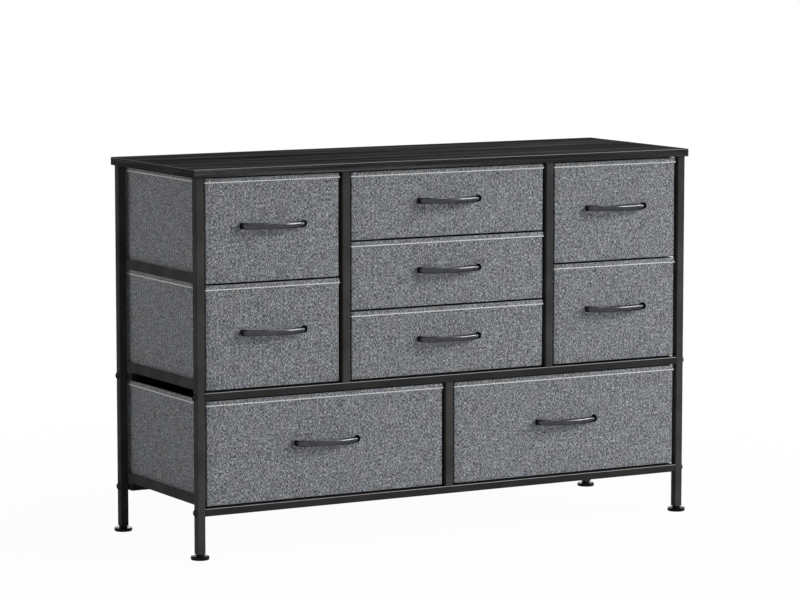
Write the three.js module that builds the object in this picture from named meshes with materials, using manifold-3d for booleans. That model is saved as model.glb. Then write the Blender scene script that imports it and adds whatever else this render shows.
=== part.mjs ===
// Fabric drawer dresser: a welded and bolted steel tube frame under a wood-look top panel,
// with nine fabric drawers that slide out on angle-section runners.
// Millimetres. +Z is up and the drawers face -Y. The origin is on the floor, under the
// middle of the whole dresser, handles included.

import * as THREE from 'three';
import { mergeVertices } from 'three/addons/utils/BufferGeometryUtils.js';
import Module from 'manifold-3d';

const wasm = await Module();
wasm.setup();

// Whole dresser
const overallHeight = 667;
const frameDepth = 326;
const seatGap = 0.3;
const cutOverrun = 2;

// Top panel
const panelWidth = 1000;
const panelThickness = 14;
const panelSideOverhang = 6;
const panelFaceOverhang = 4;
const panelEdgeBevel = 0.8;
const panelCornerRadius = 2;

// Square tube of the posts and dividers
const tubeSize = 15;
const tubeWall = 1.2;
const tubeCornerRadius = 1.8;
const postFloorGap = 9.6;
const postPlugHeight = 10;

// Flat tube rails across the front and the back
const railHeight = 13;
const railDepth = 30;
const railWall = 1.2;
const railCornerRadius = 1.2;
const railPlugLength = 12;
const bottomRailTop = 87.2;
const midRailTop = 285.9;

// Columns of the upper half
const dividerOffset = 206;

// Angle-section runners
const runnerSheet = 1.5;
const runnerWebHeight = 17;
const runnerShelfReach = 26;
const runnerLift = 1.6;
const weldBite = 0.6;

// Button-head bolts
const boltShankRadius = 3;
const boltHoleRadius = 3.3;
const boltHeadRadius = 5.8;
const boltHeadRim = 0.8;
const boltHeadHeight = 4.2;
const boltGrip = 10;

// Levelling feet
const footDiscRadius = 16;
const footDiscHeight = 6.2;
const footEdgeRadius = 1.2;
const footNeckRadius = 7.2;
const footStemRadius = 4;
const footStemClearance = 0.3;
const footStemLength = 24;

// Fabric drawers
const drawerFrontRecess = 4.5;
const drawerBackRecess = 0.5;
const drawerSideGap = 5;
const drawerHeadGap = 2.2;
const drawerShelfGap = 1.4;
const fabricWall = 2.4;
const fabricFloor = 2;
const drawerCornerRadius = 3;
const hemHeight = 8.6;
const hemStandOut = 1.4;
const boardThickness = 3;
const boardTopMargin = 9;

// Bow handles
const handleHalfLength = 60;
const handleBow = 25;
const handleBarHeight = 9.6;
const handleBarThickness = 7;
const handleDropShare = 0.464;
const handleRoundness = 2.4;
const handleScrewRadius = 1.5;
const handleScrewHoleRadius = 1.8;
const handleScrewHeadRadius = 3;
const handleScrewHeadHeight = 1.8;
const handleScrewRoot = 3;

// Facet counts
const cornerSteps = 2;
const holeSides = 12;
const boltSides = 14;
const screwSides = 8;
const footSides = 22;
const domeSteps = 3;
const barQuarterSteps = 5;
const barSteps = 18;

// Heights and places that follow from the sizes above
const tubeHalf = tubeSize / 2;
const frameHalfWidth = panelWidth / 2 - panelSideOverhang;
const frameFront = -frameDepth / 2;
const frameBack = frameDepth / 2;
const panelUnderside = overallHeight - panelThickness;
const postTop = panelUnderside - seatGap;
const midRailUnderside = midRailTop - railHeight;
const runnerSpan = frameDepth - 2 * tubeSize;
const drawerFront = frameFront + drawerFrontRecess;
const drawerDepth = frameDepth - drawerFrontRecess - drawerBackRecess;
const handleReach = seatGap + handleBow + handleBarThickness / 2;
const reachFront = drawerFront - handleReach;
const reachBack = Math.max(frameBack + panelFaceOverhang, frameBack - tubeHalf + footDiscRadius);

// Materials
const finish = (color, roughness, metalness) =>
  new THREE.MeshStandardMaterial({ color, roughness, metalness });
const woodLookBoard = () => finish(0x37383a, 0.55, 0);
const blackSteel = () => finish(0x303030, 0.5, 0.6);
const blackBoltSteel = () => finish(0x1b1b1b, 0.3, 0.8);
const blackPlastic = () => finish(0x1c1c1c, 0.6, 0);
const greyFabric = () => finish(0x6f7276, 0.95, 0);
const stiffeningBoard = () => finish(0x9b8a70, 0.85, 0);
const blackHandleMetal = () => finish(0x1e1e1f, 0.25, 0.8);

// Solids and geometries
function solidFrom(geometry) {
  const bare = geometry.clone();
  bare.deleteAttribute('normal');
  bare.deleteAttribute('uv');
  const merged = mergeVertices(bare);
  return new wasm.Manifold(new wasm.Mesh({
    numProp: 3,
    vertProperties: new Float32Array(merged.attributes.position.array),
    triVerts: new Uint32Array(merged.index.array),
  }));
}

function geometryFrom(solid) {
  const mesh = solid.getMesh();
  const geometry = new THREE.BufferGeometry();
  geometry.setAttribute('position', new THREE.BufferAttribute(new Float32Array(mesh.vertProperties), 3));
  geometry.setIndex(new THREE.BufferAttribute(new Uint32Array(mesh.triVerts), 1));
  geometry.computeVertexNormals();
  return geometry;
}

const joined = (solids) => solids.reduce((whole, next) => whole.add(next));
const cutBy = (solid, cutters) => cutters.reduce((rest, next) => rest.subtract(next), solid);

// A block from its lowest corner to its highest one
function block(low, high) {
  const size = high.map((value, index) => value - low[index]);
  const geometry = new THREE.BoxGeometry(...size);
  geometry.translate(...high.map((value, index) => (value + low[index]) / 2));
  return solidFrom(geometry);
}

function roundedRectangle(width, height, radius) {
  const right = width / 2;
  const top = height / 2;
  const shape = new THREE.Shape();
  shape.absarc(right - radius, top - radius, radius, 0, Math.PI / 2);
  shape.absarc(radius - right, top - radius, radius, Math.PI / 2, Math.PI);
  shape.absarc(radius - right, radius - top, radius, Math.PI, Math.PI * 1.5);
  shape.absarc(right - radius, radius - top, radius, Math.PI * 1.5, Math.PI * 2);
  return shape;
}

// A prism that stands on z = low
function upright(shape, low, high) {
  const geometry = new THREE.ExtrudeGeometry(shape, {
    depth: high - low, bevelEnabled: false, curveSegments: cornerSteps,
  });
  geometry.translate(0, 0, low);
  return solidFrom(geometry);
}

// A prism along x from low to high, with its outline in y and z
function along(shape, low, high) {
  const geometry = new THREE.ExtrudeGeometry(shape, {
    depth: high - low, bevelEnabled: false, curveSegments: cornerSteps,
  });
  geometry.applyMatrix4(new THREE.Matrix4().makeBasis(
    new THREE.Vector3(0, 1, 0), new THREE.Vector3(0, 0, 1), new THREE.Vector3(1, 0, 0)));
  geometry.translate(low, 0, 0);
  return solidFrom(geometry);
}

// A round bar between two points of one axis line
function roundBar(radius, start, end, sides) {
  const from = new THREE.Vector3(...start);
  const to = new THREE.Vector3(...end);
  const geometry = new THREE.CylinderGeometry(radius, radius, from.distanceTo(to), sides);
  const direction = to.clone().sub(from).normalize();
  const turn = new THREE.Quaternion().setFromUnitVectors(new THREE.Vector3(0, 1, 0), direction);
  geometry.applyQuaternion(turn);
  geometry.translate(...from.add(to).multiplyScalar(1 / 2).toArray());
  return solidFrom(geometry);
}

// A turned piece: profile points are [radius, height] from axis to axis
function turned(points, sides) {
  const profile = points.map(([radius, height]) => new THREE.Vector2(radius, height));
  return new THREE.LatheGeometry(profile, sides);
}

function piece(name, shape, material) {
  const geometry = shape.isBufferGeometry ? shape : geometryFrom(shape);
  const mesh = new THREE.Mesh(geometry, material);
  mesh.name = name;
  return mesh;
}

// Top panel, with lightly eased edges
function topPanel() {
  const width = panelWidth - 2 * panelEdgeBevel;
  const depth = frameDepth + 2 * panelFaceOverhang - 2 * panelEdgeBevel;
  const geometry = new THREE.ExtrudeGeometry(roundedRectangle(width, depth, panelCornerRadius), {
    depth: panelThickness - 2 * panelEdgeBevel,
    bevelThickness: panelEdgeBevel,
    bevelSize: panelEdgeBevel,
    bevelSegments: 1,
    curveSegments: cornerSteps,
  });
  const mesh = piece('top_panel', geometry, woodLookBoard());
  mesh.position.z = panelUnderside + panelEdgeBevel;
  return mesh;
}

// Square tube post on its own axis; a plugged foot end takes the levelling stem
function tubePost(low, high, plugged) {
  const outside = roundedRectangle(tubeSize, tubeSize, tubeCornerRadius);
  const insideSize = tubeSize - 2 * tubeWall;
  const inside = roundedRectangle(insideSize, insideSize, tubeCornerRadius - tubeWall);
  const hollowLow = plugged ? low + postPlugHeight : low - cutOverrun;
  const cutters = [upright(inside, hollowLow, high + cutOverrun)];
  if (plugged) {
    const stemHole = footStemRadius + footStemClearance;
    cutters.push(roundBar(stemHole, [0, 0, low - cutOverrun], [0, 0, hollowLow + cutOverrun], holeSides));
  }
  return cutBy(upright(outside, low, high), cutters);
}

// Angle runner between the two posts of a frame: a shelf under the drawer and an upright web.
// sides lists the directions in which the shelf reaches: -1, 1 or both. The web lies flush with the
// posts on the shelf's side, or in the middle of a shelf that reaches both ways.
function runner(shelfTop, sides) {
  const end = runnerSpan / 2 + weldBite;
  const underside = shelfTop - runnerSheet;
  const webHalf = runnerSheet / 2;
  const webMiddle = sides.length === 1 ? sides[0] * (tubeHalf - webHalf) : 0;
  const [webLeft, webRight] = [webMiddle - webHalf, webMiddle + webHalf];
  const left = sides.includes(-1) ? -runnerShelfReach : webLeft;
  const right = sides.includes(1) ? runnerShelfReach : webRight;
  const shelf = block([left, -end, underside], [right, end, shelfTop]);
  const web = block([webLeft, -end, underside], [webRight, end, underside + runnerWebHeight]);
  return shelf.add(web);
}

// A welded frame: front and back posts with the runners between them
function weldedFrame(low, high, plugged, runners) {
  const solids = [-1, 1].map((end) =>
    tubePost(low, high, plugged).translate([0, end * (frameDepth / 2 - tubeHalf), 0]));
  runners.forEach(({ shelfTop, sides }) => solids.push(runner(shelfTop, sides)));
  return joined(solids);
}

function boltHoles() {
  const holes = [];
  for (const height of [midRailTop, bottomRailTop].map((top) => top - railHeight / 2)) {
    for (const y of [frameFront + tubeHalf, frameBack - tubeHalf]) {
      const reach = tubeHalf + cutOverrun;
      holes.push(roundBar(boltHoleRadius, [-reach, y, height], [reach, y, height], holeSides));
    }
  }
  return holes;
}

// Flat tube rail between the side frames, closed by threaded plugs at its ends
function rail(name, railTop, face) {
  const halfLength = frameHalfWidth - tubeSize - seatGap;
  const hollowHalf = halfLength - railPlugLength;
  const inside = roundedRectangle(railDepth - 2 * railWall, railHeight - 2 * railWall, railWall / 2);
  const boltOffset = face * (railDepth / 2 - tubeHalf);
  const cutters = [along(inside, -hollowHalf, hollowHalf)];
  for (const end of [-1, 1]) {
    cutters.push(roundBar(boltHoleRadius,
      [end * (hollowHalf - cutOverrun), boltOffset, 0],
      [end * (halfLength + cutOverrun), boltOffset, 0], holeSides));
  }
  const outside = roundedRectangle(railDepth, railHeight, railCornerRadius);
  const mesh = piece(name, cutBy(along(outside, -halfLength, halfLength), cutters), blackSteel());
  mesh.position.set(0, face * (frameDepth / 2 - railDepth / 2), railTop - railHeight / 2);
  return mesh;
}

// Button-head bolt on its own axis: the head's seat is at zero and the shank points down
function boltGeometry() {
  const shankLength = tubeSize + 2 * seatGap + boltGrip;
  const crown = boltHeadHeight - boltHeadRim;
  const points = [
    [0, -shankLength],
    [boltShankRadius, -shankLength],
    [boltShankRadius, 0],
    [boltHeadRadius, 0],
  ];
  for (let step = 0; step < domeSteps; step += 1) {
    const angle = (step / domeSteps) * (Math.PI / 2);
    points.push([boltHeadRadius * Math.cos(angle), boltHeadRim + crown * Math.sin(angle)]);
  }
  points.push([0, boltHeadHeight]);
  return turned(points, boltSides);
}

function bolt(name, side, face, railTop) {
  const geometry = boltGeometry();
  geometry.rotateZ(-side * Math.PI / 2);
  const mesh = piece(name, geometry, blackBoltSteel());
  mesh.position.set(
    side * (frameHalfWidth + seatGap), face * (frameDepth / 2 - tubeHalf), railTop - railHeight / 2);
  return mesh;
}

// Levelling foot: a round base, a neck that meets the post and a stem that screws into it
function foot(name, side, face) {
  const neckTop = postFloorGap - seatGap;
  const stemTop = postFloorGap + footStemLength;
  const points = [
    [0, 0],
    [footDiscRadius - footEdgeRadius, 0],
    [footDiscRadius, footEdgeRadius],
    [footDiscRadius, footDiscHeight - footEdgeRadius],
    [footDiscRadius - footEdgeRadius, footDiscHeight],
    [footNeckRadius, footDiscHeight],
    [footNeckRadius, neckTop],
    [footStemRadius, neckTop],
    [footStemRadius, stemTop],
    [0, stemTop],
  ];
  const geometry = turned(points, footSides);
  geometry.rotateX(Math.PI / 2);
  const mesh = piece(name, geometry, blackPlastic());
  mesh.position.set(side * (frameHalfWidth - tubeHalf), face * (frameDepth / 2 - tubeHalf), 0);
  return mesh;
}

// Fabric box, open at the top, on its own bottom centre with its front at -depth / 2
function fabricBox(width, height, handleHeight) {
  const outline = (grow) => roundedRectangle(
    width + 2 * grow, drawerDepth + 2 * grow, drawerCornerRadius + grow);
  const walls = upright(outline(0), 0, height);
  const hem = upright(outline(hemStandOut), height - hemHeight, height);
  const inside = roundedRectangle(
    width - 2 * fabricWall, drawerDepth - 2 * fabricWall, drawerCornerRadius - fabricWall);
  const hollow = upright(inside, fabricFloor, height + cutOverrun);
  return cutBy(walls.add(hem), [hollow, ...handleScrewHoles(handleHeight)]);
}

function handleScrewHoles(height) {
  const outerEnd = -drawerDepth / 2 - cutOverrun;
  const innerEnd = -drawerDepth / 2 + fabricWall + seatGap + boardThickness + cutOverrun;
  return [-handleHalfLength, handleHalfLength].map((x) =>
    roundBar(handleScrewHoleRadius, [x, outerEnd, height], [x, innerEnd, height], screwSides));
}

function frontBoard(width, height, handleHeight) {
  const halfWidth = width / 2 - fabricWall - seatGap;
  const front = -drawerDepth / 2 + fabricWall + seatGap;
  const back = front + boardThickness;
  const low = fabricFloor + seatGap;
  const board = block([-halfWidth, front, low], [halfWidth, back, height - boardTopMargin]);
  return cutBy(board, handleScrewHoles(handleHeight));
}

function baseBoard(width) {
  const halfWidth = width / 2 - fabricWall - seatGap;
  const front = -drawerDepth / 2 + fabricWall + boardThickness + 2 * seatGap;
  const back = drawerDepth / 2 - fabricWall - seatGap;
  const low = fabricFloor + seatGap;
  return block([-halfWidth, front, low], [halfWidth, back, low + boardThickness]);
}

// Centre line of a bow handle, seen from above: half a squared-off ellipse
class BowLine extends THREE.Curve {
  getPoint(share, target = new THREE.Vector3()) {
    const angle = Math.PI * (1 - share);
    const power = 2 / handleRoundness;
    const along = Math.cos(angle);
    const out = Math.max(Math.sin(angle), 0);
    return target.set(
      handleHalfLength * Math.sign(along) * Math.abs(along) ** power, -handleBow * out ** power, 0);
  }
}

// Bow handle with its two screws, on the drawer face at y = 0
function bowHandle() {
  const section = new THREE.Shape();
  section.absellipse(0, 0, handleBarHeight / 2, handleBarThickness / 2, 0, Math.PI * 2);
  const bar = solidFrom(new THREE.ExtrudeGeometry(section, {
    steps: barSteps, extrudePath: new BowLine(), curveSegments: barQuarterSteps, bevelEnabled: false,
  }));
  const headSeat = fabricWall + 3 * seatGap + boardThickness;
  const screws = [-handleHalfLength, handleHalfLength].map((x) => {
    const shank = roundBar(handleScrewRadius,
      [x, -handleScrewRoot, 0], [x, headSeat + handleScrewHeadHeight / 2, 0], screwSides);
    const head = roundBar(handleScrewHeadRadius,
      [x, headSeat, 0], [x, headSeat + handleScrewHeadHeight, 0], screwSides);
    return shank.add(head);
  });
  return joined([bar, ...screws]);
}

// One drawer: fabric box, stiffening boards and handle
function drawer(name, left, right, low, high) {
  const width = right - left;
  const height = high - low;
  const handleHeight = height * (1 - handleDropShare);
  const group = new THREE.Group();
  const handle = piece(`${name}_handle`, bowHandle(), blackHandleMetal());
  handle.position.set(0, -drawerDepth / 2 - seatGap, handleHeight);
  group.add(
    piece(`${name}_fabric_box`, fabricBox(width, height, handleHeight), greyFabric()),
    piece(`${name}_front_board`, frontBoard(width, height, handleHeight), stiffeningBoard()),
    piece(`${name}_base_board`, baseBoard(width), stiffeningBoard()),
    handle,
  );
  group.position.set((left + right) / 2, drawerFront + drawerDepth / 2, low);
  return group;
}

// Lowest and highest level of each drawer in a stack that shares one bay
function stackLevels(lowestRunner, ceiling, count) {
  const low = lowestRunner + runnerSheet + seatGap;
  const high = ceiling - drawerHeadGap;
  const gap = drawerShelfGap + runnerSheet + seatGap;
  const height = (high - low - gap * (count - 1)) / count;
  return Array.from({ length: count }, (_, index) => {
    const floor = low + index * (height + gap);
    return { low: floor, high: floor + height };
  });
}

const shelfTops = (levels) => levels.map(({ low }) => low - seatGap);
const runnersAt = (heights, sides) => heights.map((shelfTop) => ({ shelfTop, sides }));

// Drawer stacks
const outerLevels = stackLevels(midRailTop + runnerLift, panelUnderside, 2);
const centreLevels = stackLevels(midRailTop + runnerLift, panelUnderside, 3);
const bottomLevels = stackLevels(bottomRailTop + runnerLift, midRailUnderside, 1);

function frameMeshes() {
  const outerShelves = [...shelfTops(bottomLevels), ...shelfTops(outerLevels)];
  const meshes = [];
  for (const [name, side] of [['left_side_frame', -1], ['right_side_frame', 1]]) {
    const welded = weldedFrame(postFloorGap, postTop, true, runnersAt(outerShelves, [-side]));
    const mesh = piece(name, cutBy(welded, boltHoles()), blackSteel());
    mesh.position.x = side * (frameHalfWidth - tubeHalf);
    meshes.push(mesh);
  }
  const [midShelf, ...outerUpper] = shelfTops(outerLevels);
  const centreUpper = shelfTops(centreLevels).slice(1);
  for (const [name, side] of [['upper_left_divider_frame', -1], ['upper_right_divider_frame', 1]]) {
    const runners = [
      ...runnersAt([midShelf], [-1, 1]),
      ...runnersAt(outerUpper, [side]),
      ...runnersAt(centreUpper, [-side]),
    ];
    const mesh = piece(name, weldedFrame(midRailTop + seatGap, postTop, false, runners), blackSteel());
    mesh.position.x = side * dividerOffset;
    meshes.push(mesh);
  }
  const lowerRunners = runnersAt(shelfTops(bottomLevels), [-1, 1]);
  const lowerDivider = weldedFrame(
    bottomRailTop + seatGap, midRailUnderside - seatGap, false, lowerRunners);
  meshes.push(piece('lower_divider_frame', lowerDivider, blackSteel()));
  return meshes;
}

function railMeshes() {
  return [
    rail('front_mid_rail', midRailTop, -1),
    rail('back_mid_rail', midRailTop, 1),
    rail('front_bottom_rail', bottomRailTop, -1),
    rail('back_bottom_rail', bottomRailTop, 1),
  ];
}

function cornerMeshes() {
  const meshes = [];
  for (const [sideName, side] of [['left', -1], ['right', 1]]) {
    for (const [faceName, face] of [['front', -1], ['back', 1]]) {
      meshes.push(foot(`foot_${sideName}_${faceName}`, side, face));
      meshes.push(bolt(`bolt_${sideName}_${faceName}_mid`, side, face, midRailTop));
      meshes.push(bolt(`bolt_${sideName}_${faceName}_bottom`, side, face, bottomRailTop));
    }
  }
  return meshes;
}

function drawerGroups() {
  const innerSide = frameHalfWidth - tubeSize - drawerSideGap;
  const besideDivider = tubeHalf + drawerSideGap;
  const bays = [
    {
      names: ['left_lower', 'left_top'],
      left: -innerSide,
      right: -dividerOffset - besideDivider,
      levels: outerLevels,
    },
    {
      names: ['centre_lower', 'centre_middle', 'centre_top'],
      left: besideDivider - dividerOffset,
      right: dividerOffset - besideDivider,
      levels: centreLevels,
    },
    {
      names: ['right_lower', 'right_top'],
      left: dividerOffset + besideDivider,
      right: innerSide,
      levels: outerLevels,
    },
    { names: ['bottom_left'], left: -innerSide, right: -besideDivider, levels: bottomLevels },
    { names: ['bottom_right'], left: besideDivider, right: innerSide, levels: bottomLevels },
  ];
  return bays.flatMap(({ names, left, right, levels }) => names.map((name, index) => {
    const { low, high } = levels[index];
    return drawer(`${name}_drawer`, left, right, low, high);
  }));
}

const dresser = new THREE.Group();
dresser.add(topPanel(), ...frameMeshes(), ...railMeshes(), ...cornerMeshes(), ...drawerGroups());
dresser.position.y = -(reachFront + reachBack) / 2;

export default dresser;
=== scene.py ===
import math

import bpy
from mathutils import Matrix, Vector


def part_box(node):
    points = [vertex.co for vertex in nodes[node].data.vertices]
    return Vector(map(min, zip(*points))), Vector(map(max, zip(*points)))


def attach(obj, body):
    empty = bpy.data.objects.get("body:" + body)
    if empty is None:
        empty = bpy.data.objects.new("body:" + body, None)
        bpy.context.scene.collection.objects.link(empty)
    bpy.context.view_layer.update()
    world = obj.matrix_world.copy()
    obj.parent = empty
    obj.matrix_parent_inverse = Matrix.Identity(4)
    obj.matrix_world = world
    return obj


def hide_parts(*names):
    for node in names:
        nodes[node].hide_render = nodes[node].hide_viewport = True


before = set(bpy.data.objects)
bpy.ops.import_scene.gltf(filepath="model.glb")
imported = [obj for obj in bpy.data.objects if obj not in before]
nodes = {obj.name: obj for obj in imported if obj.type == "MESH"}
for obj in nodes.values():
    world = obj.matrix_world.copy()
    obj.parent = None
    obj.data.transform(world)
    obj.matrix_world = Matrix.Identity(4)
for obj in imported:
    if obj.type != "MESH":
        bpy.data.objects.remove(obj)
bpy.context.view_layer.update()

bpy.ops.object.select_all(action="DESELECT")
mm = 0.001  # Blender works in metres, sizes here are in mm and angles in degrees if no note says otherwise
hair = 1e-6  # metres, what lies closer than this lies in line
drawerNames = sorted(name[:-len("_fabric_box")] for name in nodes if name.endswith("_fabric_box"))
print("Frame loaded:", len(nodes), "CAD nodes,", len(drawerNames), "drawers")


# Small helpers

def linear(hexColour):
    # sRGB hex text to the linear colour that shaders read
    parts = [int(hexColour[i:i + 2], 16) / 255 for i in (1, 3, 5)]
    return tuple(c / 12.92 if c <= 0.04045 else ((c + 0.055) / 1.055) ** 2.4 for c in parts) + (1.0,)


def addNode(tree, kind, settings=None, values=None, links=None):
    node = tree.nodes.new(kind)
    for name, value in (settings or {}).items():
        setattr(node, name, value)
    for socket, value in (values or {}).items():
        node.inputs[socket].default_value = value
    for socket, source in (links or {}).items():
        tree.links.new(source, node.inputs[socket])
    return node


def newMaterial(name):
    material = bpy.data.materials.new(name)
    material.use_nodes = True
    material.node_tree.nodes.clear()
    return material, material.node_tree


def setRamp(ramp, stops):
    elements = ramp.color_ramp.elements
    while len(elements) < len(stops):
        elements.new(0.5)
    for element, (place, colour) in zip(elements, stops):
        element.position = place
        element.color = linear(colour)


def whereWhiteShows(tree):
    # 1 for what is seen straight, in a mirror or through glass, 0 for the light that falls on the dresser
    rays = addNode(tree, "ShaderNodeLightPath")
    seenOrGlossy = addNode(tree, "ShaderNodeMath", {"operation": "MAXIMUM"}, links={
        0: rays.outputs["Is Camera Ray"], 1: rays.outputs["Is Glossy Ray"]})
    seenAtAll = addNode(tree, "ShaderNodeMath", {"operation": "MAXIMUM"}, links={
        0: seenOrGlossy.outputs[0], 1: rays.outputs["Is Transmission Ray"]})
    return seenAtAll.outputs[0]


# Camera, 29 degrees to the left of the front and a little above it

view = {
    "azimuth": -29.27,      # degrees round the dresser, minus is to its left
    "elevation": 6.68,      # degrees above the level
    "distance": 6.2914,     # metres from the point looked at
    "lookAt": (-0.0086, 0.0079, 0.4022),
    "lens": 157.6, "sensor": 36,
    "farEnd": 100,          # metres, nothing farther off is drawn
}

turn = math.radians(view["azimuth"])
tilt = math.radians(view["elevation"])
backwards = Vector((math.sin(turn) * math.cos(tilt), -math.cos(turn) * math.cos(tilt), math.sin(tilt)))
bpy.ops.object.camera_add(location=Vector(view["lookAt"]) + backwards * view["distance"])
camera = bpy.context.object
camera.name = "photo_camera"
camera.rotation_euler = backwards.to_track_quat("Z", "Y").to_euler()
camera.data.lens = view["lens"]
camera.data.sensor_width = view["sensor"]
camera.data.clip_end = view["farEnd"]
bpy.context.scene.camera = camera


# Soft studio light

lamps = {
    # name: place, point aimed at, width and height in metres, watts, colour
    "keyRight": ((8.9, -7.0, 4.65), (0, 0, 0.35), (7.2, 3.5), 1190, (1, 1, 1)),
    "stripRight": ((4.0, -1.2, 1.1), (0, 0, 0.35), (0.6, 1.9), 24, (1, 1, 1)),
    "fillLeft": ((-3.0, 0.75, 1.0), (0, 0, 0.33), (1.6, 1.8), 21, (1.0, 0.965, 0.965)),
    "topSoft": ((0.9, -0.5, 2.6), (0, -0.1, 0.5), (1.6, 0.7), 19, (1, 1, 1)),
    "behindRight": ((1.5, 3.0, 1.2), (0, 0, 0.35), (1.4, 1.2), 24, (1, 1, 1)),
}

for name, (place, aim, size, power, colour) in lamps.items():
    bpy.ops.object.light_add(type="AREA", location=place)
    lamp = bpy.context.object
    lamp.name = name
    lamp.data.shape = "RECTANGLE"
    lamp.data.size, lamp.data.size_y = size
    lamp.data.energy = power
    lamp.data.color = colour
    lamp.rotation_euler = (Vector(place) - Vector(aim)).to_track_quat("Z", "Y").to_euler()

studio = {
    "roomLight": 0.04,                      # strength of the even light from all round
    "white": 1.0,                           # strength at which the backdrop is plain white
    "paper": "#f6f6f6",
    "whiteFrom": 0.55, "whiteTo": 1.6,      # metres from the dresser's middle over which the paper whitens
    "shareFrom": 0.965, "shareTo": 1.0,     # of plain white there
    "floorSize": 40, "floorDrop": 0.0002,   # metres
}

world = bpy.data.worlds.new("studio")
bpy.context.scene.world = world
world.use_nodes = True
sky = world.node_tree
sky.nodes.clear()
roomLight = addNode(sky, "ShaderNodeBackground", values={
    "Color": (1, 1, 1, 1), "Strength": studio["roomLight"]})
whiteBackdrop = addNode(sky, "ShaderNodeBackground", values={
    "Color": (1, 1, 1, 1), "Strength": studio["white"]})
skyMix = addNode(sky, "ShaderNodeMixShader", links={
    0: whereWhiteShows(sky), 1: roomLight.outputs[0], 2: whiteBackdrop.outputs[0]})
addNode(sky, "ShaderNodeOutputWorld", links={"Surface": skyMix.outputs[0]})

bpy.context.scene.view_settings.view_transform = "Standard"

# Matt white paper sweep: keeps a faint shadow round the dresser and goes over into plain white farther off
floorPaper, tree = newMaterial("seamless_paper_white")
matt = addNode(tree, "ShaderNodeBsdfDiffuse", values={"Color": linear(studio["paper"])})
glow = addNode(tree, "ShaderNodeEmission", values={"Color": (1, 1, 1, 1), "Strength": studio["white"]})
place = addNode(tree, "ShaderNodeTexCoord")
farOff = addNode(tree, "ShaderNodeVectorMath", {"operation": "LENGTH"}, links={0: place.outputs["Object"]})
whiteShare = addNode(tree, "ShaderNodeMapRange", values={
    "From Min": studio["whiteFrom"], "From Max": studio["whiteTo"],
    "To Min": studio["shareFrom"], "To Max": studio["shareTo"]}, links={"Value": farOff.outputs["Value"]})
seen = addNode(tree, "ShaderNodeMath", {"operation": "MULTIPLY"}, links={
    0: whereWhiteShows(tree), 1: whiteShare.outputs[0]})
surface = addNode(tree, "ShaderNodeMixShader", links={
    0: seen.outputs[0], 1: matt.outputs[0], 2: glow.outputs[0]})
addNode(tree, "ShaderNodeOutputMaterial", links={"Surface": surface.outputs[0]})

bpy.ops.mesh.primitive_plane_add(size=studio["floorSize"], location=(0, 0, -studio["floorDrop"]))
floor = bpy.context.object
floor.name = "studio_floor"
floor.data.materials.append(floorPaper)
print("Camera, lamps and floor ready")


# Materials. In their dictionaries "stops" are the places and colours of a ramp, and "relief" is a depth

waveRepeat = 0.31416  # a wave texture at scale 1 repeats after this length, a diagonal one after 1.15 of it

# Linen-look polyester, woven from heather yarns: cool and warm grey flecks that run with the threads
cloth = {
    "yarn": 1.25,           # between threads, well over the real ones so that they show
    "slub": 4.6,            # length of a fleck along its thread
    "fleckNoise": {"Scale": 1.0, "Detail": 3.0, "Roughness": 0.8},
    "weftShift": (31, 17, 0),               # so that the weft's flecks don't repeat the warp's
    "weftUnder": 0.2, "weftOver": 0.6,      # the weft's share where it runs under or over the warp
    "streakWidth": 4.5, "streakLength": 26, "streakShare": 0.13,  # thicker and thinner lengths of yarn
    "streakNoise": {"Scale": 1.0, "Detail": 1.0},
    "streakShift": (5, 9, 0),
    "levelStreaks": 0.4,    # share of the level ones, the others are upright
    "blotch": 34,           # width of the warmer and cooler patches
    "blotchDetail": 3.0,
    "ridgeWaver": {"Distortion": 0.6, "Detail": 1.0, "Detail Scale": 0.4},
    "ridgeShare": 0.6,      # of the threads' ridges in the relief, beside the flecks
    "relief": 0.22,
    "stops": [(0.468, "#242629"), (0.543, "#686b6f"), (0.601, "#84878b"), (0.675, "#dadee2")],
    "blotchStops": [(0.42, "#f9f5f5"), (0.58, "#f7fbfc")],  # a warm and a cool tint
}
heatherCloth, tree = newMaterial("woven_heather_polyester")
flat = addNode(tree, "ShaderNodeUVMap", {"uv_map": "clothMap"})
yarnNoises = []
for shift, across, along, noise in (
        ((0, 0, 0), cloth["yarn"], cloth["slub"], cloth["fleckNoise"]),
        (cloth["weftShift"], cloth["slub"], cloth["yarn"], cloth["fleckNoise"]),
        (cloth["streakShift"], cloth["streakWidth"], cloth["streakLength"], cloth["streakNoise"]),
        (cloth["streakShift"], cloth["streakLength"], cloth["streakWidth"], cloth["streakNoise"])):
    laid = addNode(tree, "ShaderNodeMapping", values={
        "Location": shift, "Scale": (1 / (across * mm), 1 / (along * mm), 1)}, links={0: flat.outputs[0]})
    yarnNoises.append(addNode(tree, "ShaderNodeTexNoise", {"noise_dimensions": "2D"}, noise,
                              {"Vector": laid.outputs[0]}))
warp, weft, uprightStreaks, levelStreaks = yarnNoises
overUnder = addNode(tree, "ShaderNodeTexChecker", values={
    "Color1": (1, 1, 1, 1), "Color2": (0, 0, 0, 1), "Scale": 1 / (cloth["yarn"] * mm)},
    links={"Vector": flat.outputs[0]})
onTop = addNode(tree, "ShaderNodeMath", {"operation": "MULTIPLY_ADD"},
                {1: cloth["weftOver"] - cloth["weftUnder"], 2: cloth["weftUnder"]},
                {0: overUnder.outputs["Fac"]})
yarns = addNode(tree, "ShaderNodeMix", {"data_type": "FLOAT"}, links={
    0: onTop.outputs[0], 2: warp.outputs[0], 3: weft.outputs[0]})
thickThin = addNode(tree, "ShaderNodeMix", {"data_type": "FLOAT"}, {0: cloth["levelStreaks"]}, {
    2: uprightStreaks.outputs[0], 3: levelStreaks.outputs[0]})
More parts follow.
